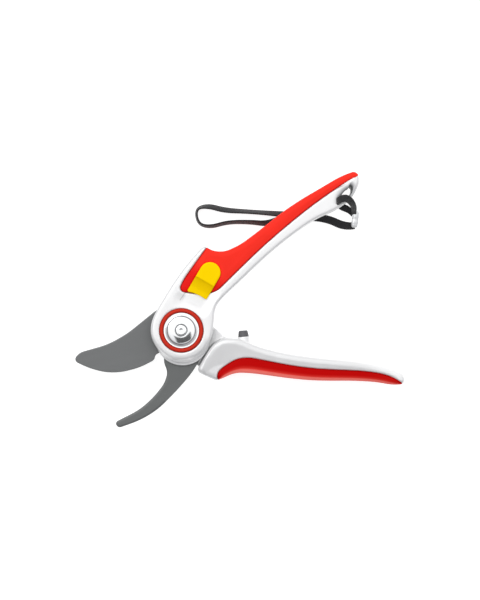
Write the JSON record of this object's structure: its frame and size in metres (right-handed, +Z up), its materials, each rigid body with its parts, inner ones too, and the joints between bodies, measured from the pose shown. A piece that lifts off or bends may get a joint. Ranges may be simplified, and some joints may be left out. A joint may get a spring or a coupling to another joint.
{
  "type": "bypass pruning shears",
  "caption": "Bypass secateurs with a curved cutting blade over a hook blade, cushioned handles, a thumb lock, a rubber buffer and a webbing wrist strap.",
  "frame": {"origin": "on the pivot's axis, at the underside of the pivot bolt's head, in the plane that the tool lies on", "axes": "+Z up along the pivot's axis; +X from the blades to the handles, halfway between the open handles; +Y to the handle that carries the lock"},
  "size_m": [0.2048, 0.1448, 0.0222],
  "materials": {
    "upper_frame": "fine satin, silver white",
    "upper_grip": "smooth matt, bright red",
    "hook_blade": "non-stick coated, mid grey",
    "hook_screws": "plain",
    "pivot_bolt": "polished",
    "pivot_washer": "turned",
    "pivot_nut": "polished",
    "pivot_ring": "smooth, red",
    "return_spring": "spring wire",
    "wrist_strap": "woven webbing, dark grey",
    "eye_loop": "woven webbing, dark grey",
    "strap_clip": "satin",
    "lock_slider": "smooth, yellow",
    "lock_catch": "plain",
    "lower_frame": "fine satin, silver white",
    "lower_grip": "smooth matt, dark red",
    "cutting_blade": "non-stick coated, mid grey, bare ground edge",
    "blade_rivets": "plain",
    "pivot_bush": "turned",
    "buffer_cap": "smooth, dark grey"
  },
  "bodies": {
    "upper_handle": {"upper_frame": "upper_frame", "upper_grip": "upper_grip", "hook_blade": "hook_blade", "hook_screws": "hook_screws", "pivot_bolt": "pivot_bolt", "pivot_washer": "pivot_washer", "pivot_nut": "pivot_nut", "pivot_ring": "pivot_ring", "return_spring": "return_spring", "wrist_strap": "wrist_strap", "eye_loop": "eye_loop", "strap_clip": "strap_clip"},
    "lower_handle": {"lower_frame": "lower_frame", "lower_grip": "lower_grip", "cutting_blade": "cutting_blade", "blade_rivets": "blade_rivets", "pivot_bush": "pivot_bush", "buffer_cap": "buffer_cap"},
    "lock": {"lock_slider": "lock_slider", "lock_catch": "lock_catch"}
  },
  "joints": [
    {"name": "blade_pivot", "type": "hinge", "parent": "upper_handle", "child": "lower_handle", "pos_m": [0, 0, 0], "axis": [0, 0, 1], "range_deg": [0, 38], "stiffness_Nm_per_rad": 0.6, "springref_deg": -20.05, "deforming": ["return_spring"]},
    {"name": "lock_slide", "type": "slide", "parent": "upper_handle", "child": "lock", "axis": [-0.7071, -0.7071, 0], "range_m": [0, 0.0062]}
  ]
}
